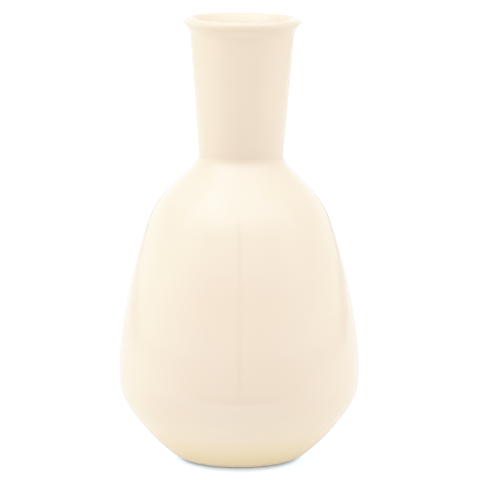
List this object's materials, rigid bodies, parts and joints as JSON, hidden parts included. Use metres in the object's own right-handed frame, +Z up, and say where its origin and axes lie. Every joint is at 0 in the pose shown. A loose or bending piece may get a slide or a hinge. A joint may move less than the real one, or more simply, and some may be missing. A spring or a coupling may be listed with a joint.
{
  "type": "vase",
  "caption": "Pear-shaped ceramic vase with a tall, slightly widening neck and a round lip, cream gloss glaze inside and out, and a bare foot ring.",
  "frame": {"origin": "centre of the foot ring, on the surface that the vase stands on", "axes": "+Z up along the vase's axis of revolution, from the foot to the mouth; X and Y are interchangeable"},
  "size_m": [0.1092, 0.1092, 0.2],
  "materials": {
    "bare_clay": "matte, fine-grained fired buff clay",
    "outer_glaze": "gloss cream glaze",
    "liner_glaze": "gloss cream glaze",
    "base_glaze": "gloss cream glaze"
  },
  "bodies": {
    "root": {"clay_body": "bare_clay", "outer_glaze": "outer_glaze", "liner_glaze": "liner_glaze", "base_glaze": "base_glaze"}
  },
  "joints": []
}
